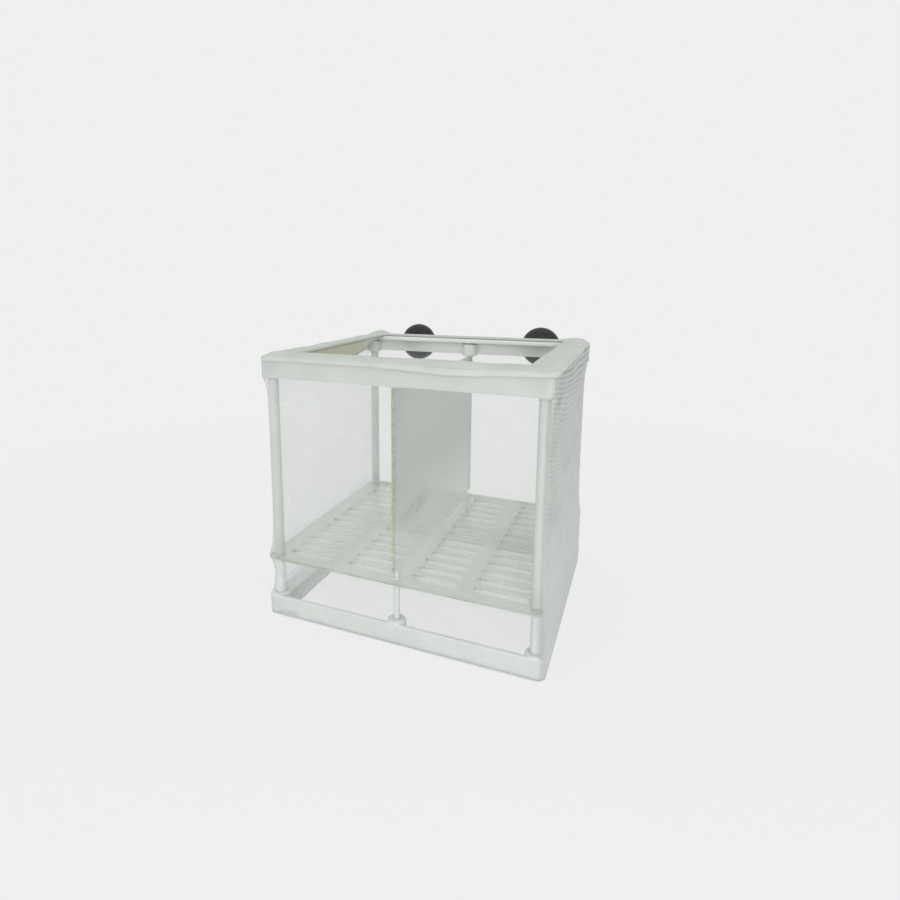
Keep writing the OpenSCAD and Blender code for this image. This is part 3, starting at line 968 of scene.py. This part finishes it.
    def underside(self, i):
        """The cloth's underside on the rail, and down to the sewn edge."""
        skirt = TOP - self.skirt(i)
        points = [(blend(self.edge(i) - 2.1, 1.1, k / 4), TOP + 0.16, 0) for k in range(5)]
        return points + [
            (0.1, TOP - 0.02, 0), (-0.36, TOP - 0.6, 0), (-0.34, (skirt + TOP - 0.7) / 2, 0),
            (-0.31, skirt - 0.05, 0),
        ]

    def spot(self, i, distance):
        """Point and outward direction this far inside the rails, or less along the back."""
        edge = self.edge(i)
        bend = edge - self.FOLD
        back_edge = edge - (self.width - self.back_width)
        if distance <= 0:
            back = distance
        elif distance < bend:
            back = distance * (back_edge - self.FOLD) / bend
        else:
            back = distance - edge + back_edge
        return self.loop.spot(i, *rectangle(distance, back), RAIL_CORNER + max(-distance, 0))


def make_hem(shape, material):
    """The folded hem that holds the bag on the top frame."""
    loop = shape.loop
    sections = [shape.section(i) for i in range(len(loop))]
    count = len(sections[0])
    lengths = [0.0]
    for k in range(count):
        here, there = sections[0][k], sections[0][(k + 1) % count]
        lengths.append(lengths[-1] + math.hypot(there[0] - here[0], there[1] - here[1]))

    def place(column, row):
        i, s = column % len(loop), loop.along(column)
        distance, z, _ = sections[i][row % count]
        spot, out = shape.spot(i, distance)
        if distance > 0.5 and z > TOP:
            spot = spot + out * 0.3 * wander(s / 5, distance / 6, 2.7)
        elif distance < 0.5 and loop.station(i)[0] in (FRONT_RIGHT, RIGHT, BACK_RIGHT):
            ruck = 0.25 * wander(s / 3.2, z / 4, 6.1) + 0.15 * wander(s / 1.7, z / 3, 3.3)
            spot = spot + out * ruck
        return (spot.x, spot.y, z)

    def measure(column, row):
        return (loop.travelled[column] / CLOTH_UNIT, lengths[row] / CLOTH_UNIT)

    def marks(column, row):
        return sections[column % len(loop)][row % count][2], 0.0

    bm = wrapped_grid(len(loop), count, place, measure, marks)
    piece = finish_mesh(bm, "bag_hem", material, "cage")
    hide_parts("net_hem")


def make_elastic(shape, material):
    """The covered elastic that runs in the hem's inner fold."""
    loop = shape.loop
    radius = 0.6

    def place(column, row):
        aside, up = round_cord(row)
        inwards = shape.edge(column) - shape.CORD_IN + radius * aside
        spot, _ = shape.spot(column, inwards)
        return (spot.x, spot.y, TOP + shape.CORD_UP + radius * up)

    bm = wrapped_grid(len(loop), CORD_SIDES, place)
    piece = finish_mesh(bm, "elastic_loop", material, "cage")
    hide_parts("hem_elastic")


def make_base_seam(material):
    """Overlocked seam round the bottom panel."""
    loop = Ring(104, 94, 10)

    def place(column, row):
        aside, up = round_cord(row)
        seam_r = stitched(loop.along(column), 0.32, 0.04)
        spot, _ = loop.spot(column, *rectangle(0.05 - seam_r * aside), NET_CORNER)
        return (spot.x, spot.y, 0.62 + seam_r * up)

    bm = wrapped_grid(len(loop), CORD_SIDES, place)
    finish_mesh(bm, "base_seam", material, "cage")


def make_corner_seam(material):
    """Overlocked seam up the back left corner, closed at both ends."""
    steps, foot = 150, 1.0
    facing = math.radians(135)
    out = Vector((math.cos(facing), math.sin(facing)))
    tangent = Vector((-out.y, out.x))

    def place(column, row):
        z = blend(foot, WALL_TURN, column / steps)
        aside, up = round_cord(row)
        seam_r = 0.02 if column in (0, steps) else stitched(z, 0.4, 0.05)
        inset, radius = wall_inset(z, 0), corner_radius(z)
        centre = Vector((-HALF_W + inset + radius, HALF_D - inset - radius))
        spot = centre + out * (radius + seam_r * aside) + tangent * seam_r * up
        return (spot.x, spot.y, z)

    bm = wrapped_grid(steps, CORD_SIDES, place)
    bmesh.ops.remove_doubles(bm, verts=bm.verts, dist=1e-4)
    bmesh.ops.holes_fill(bm, edges=bm.edges, sides=CORD_SIDES)
    finish_mesh(bm, "corner_seam", material, "cage")


# ---------------------------------------------------------------- studio


def make_floor(colour):
    """A wide round floor under the box."""
    bm = bmesh.new()
    bmesh.ops.create_circle(bm, cap_ends=True, segments=64, radius=30)
    new_piece(bm, "studio_floor", backdrop_paper(colour))


def make_lamps(power):
    """Two lamps in front of the box and a large one over it."""
    for name, place, size, share in LAMPS:
        light = bpy.data.lights.new(name, "AREA")
        light.size, light.energy = size, power * share
        lamp = linked(name, light)
        lamp.location = place
        lamp.rotation_euler = (LAMP_AIM - Vector(place)).to_track_quat("-Z", "Y").to_euler()


def make_camera(focal_length):
    """A camera in front of the box, to the right and above, that looks a little down."""
    eye = bpy.data.cameras.new("camera")
    eye.sensor_width = 36
    eye.lens = focal_length
    eye.shift_x, eye.shift_y = CAMERA_SHIFT
    eye.clip_start, eye.clip_end = 0.01, 100
    camera = linked("camera", eye)
    axes = (CAMERA_DOWN.cross(CAMERA_AHEAD), -CAMERA_DOWN, -CAMERA_AHEAD)
    turn = Matrix(axes).transposed().to_4x4()
    camera.matrix_world = Matrix.Translation(CAMERA_PLACE) @ turn
    bpy.context.scene.camera = camera


# ---------------------------------------------------------------- operators


class BREEDBOX_OT_frames(bpy.types.Operator):
    """Finish the two moulded frames with their posts and legs"""

    bl_idname = "breedbox.frames"
    bl_label = "Frames and Posts"

    def execute(self, context):
        look = context.scene.breedbox_finish
        upper = moulded_plastic("upper_plastic", look.plastic)
        lower = moulded_plastic("lower_plastic", look.lower)
        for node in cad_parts:
            if node.startswith(("top_frame", "post_")):
                finish_node(node, upper)
            if node.startswith(("bottom_frame", "leg_")):
                finish_node(node, lower)
        return {"FINISHED"}


class BREEDBOX_OT_plates(bpy.types.Operator):
    """Finish the slotted floor plate and the divider"""

    bl_idname = "breedbox.plates"
    bl_label = "Floor Plate and Divider"

    def execute(self, context):
        look = context.scene.breedbox_finish
        finish_node("floor_grille", slotted_plate(look.plate, look.edge))
        finish_node("divider_panel", divider_sheet(look.divider, look.edge))
        return {"FINISHED"}


class BREEDBOX_OT_cups(bpy.types.Operator):
    """Finish the two suction cups"""

    bl_idname = "breedbox.cups"
    bl_label = "Suction Cups"

    def execute(self, context):
        rubber = cup_rubber(context.scene.breedbox_finish.rubber)
        for side in ("left", "right"):
            finish_node("suction_cup_" + side, rubber)
        return {"FINISHED"}


class BREEDBOX_OT_net(bpy.types.Operator):
    """Make the net bag's wall and bottom panel"""

    bl_idname = "breedbox.net"
    bl_label = "Net Bag"

    def execute(self, context):
        cloth, look = context.scene.breedbox_cloth, context.scene.breedbox_finish
        pitch = cloth.mesh_pitch / MM
        make_walls(cloth, sheer_net("wall_net", look.net, pitch, cloth.coverage))
        make_base(sheer_net("base_net", look.net, pitch, cloth.coverage * 0.25))
        return {"FINISHED"}


class BREEDBOX_OT_hem(bpy.types.Operator):
    """Make the folded hem with its elastic"""

    bl_idname = "breedbox.hem"
    bl_label = "Hem and Elastic"

    def execute(self, context):
        cloth, look = context.scene.breedbox_cloth, context.scene.breedbox_finish
        shape = HemShape(cloth)
        make_hem(shape, hem_cloth(look.hem, look.flap, cloth.mesh_pitch / MM))
        make_elastic(shape, sewing_thread(look.hem))
        return {"FINISHED"}


class BREEDBOX_OT_seams(bpy.types.Operator):
    """Make the bag's sewn seams"""

    bl_idname = "breedbox.seams"
    bl_label = "Seams"

    def execute(self, context):
        thread = sewing_thread(context.scene.breedbox_finish.net)
        make_base_seam(thread)
        make_corner_seam(thread)
        return {"FINISHED"}


class BREEDBOX_OT_studio(bpy.types.Operator):
    """Make the pale floor, the light, the lamps and the camera"""

    bl_idname = "breedbox.studio"
    bl_label = "Studio"

    def execute(self, context):
        scene, studio = context.scene, context.scene.breedbox_studio
        scene.view_settings.view_transform = "Standard"
        make_floor(studio.backdrop)
        scene.world = studio_light(studio.backdrop, studio.ambient)
        make_lamps(studio.lamp_power)
        make_camera(studio.focal_length)
        return {"FINISHED"}


STEPS = (
    BREEDBOX_OT_frames,
    BREEDBOX_OT_plates,
    BREEDBOX_OT_cups,
    BREEDBOX_OT_net,
    BREEDBOX_OT_hem,
    BREEDBOX_OT_seams,
    BREEDBOX_OT_studio,
)


class BREEDBOX_PT_panel(bpy.types.Panel):
    """Sizes, colours and steps of the breeding box"""

    bl_label = "Breeding Box"
    bl_idname = "BREEDBOX_PT_panel"
    bl_space_type = "VIEW_3D"
    bl_region_type = "UI"
    bl_category = "Breeding Box"

    def draw(self, context):
        for group in ("breedbox_cloth", "breedbox_finish", "breedbox_studio"):
            box = self.layout.box()
            settings = getattr(context.scene, group)
            for name in settings.bl_rna.properties.keys():
                if name not in {"rna_type", "name"}:
                    box.prop(settings, name)
        for step in STEPS:
            self.layout.operator(step.bl_idname)


CLASSES = (BreedingBoxCloth, BreedingBoxFinish, BreedingBoxStudio, *STEPS, BREEDBOX_PT_panel)


def register():
    for cls in CLASSES:
        bpy.utils.register_class(cls)
    bpy.types.Scene.breedbox_cloth = PointerProperty(type=BreedingBoxCloth)
    bpy.types.Scene.breedbox_finish = PointerProperty(type=BreedingBoxFinish)
    bpy.types.Scene.breedbox_studio = PointerProperty(type=BreedingBoxStudio)


def unregister():
    del bpy.types.Scene.breedbox_studio
    del bpy.types.Scene.breedbox_finish
    del bpy.types.Scene.breedbox_cloth
    for cls in reversed(CLASSES):
        bpy.utils.unregister_class(cls)


def main():
    register()
    bpy.ops.breedbox.frames()
    bpy.ops.breedbox.plates()
    bpy.ops.breedbox.cups()
    bpy.ops.breedbox.net()
    bpy.ops.breedbox.hem()
    bpy.ops.breedbox.seams()
    bpy.ops.breedbox.studio()


if __name__ == "__main__":
    main()
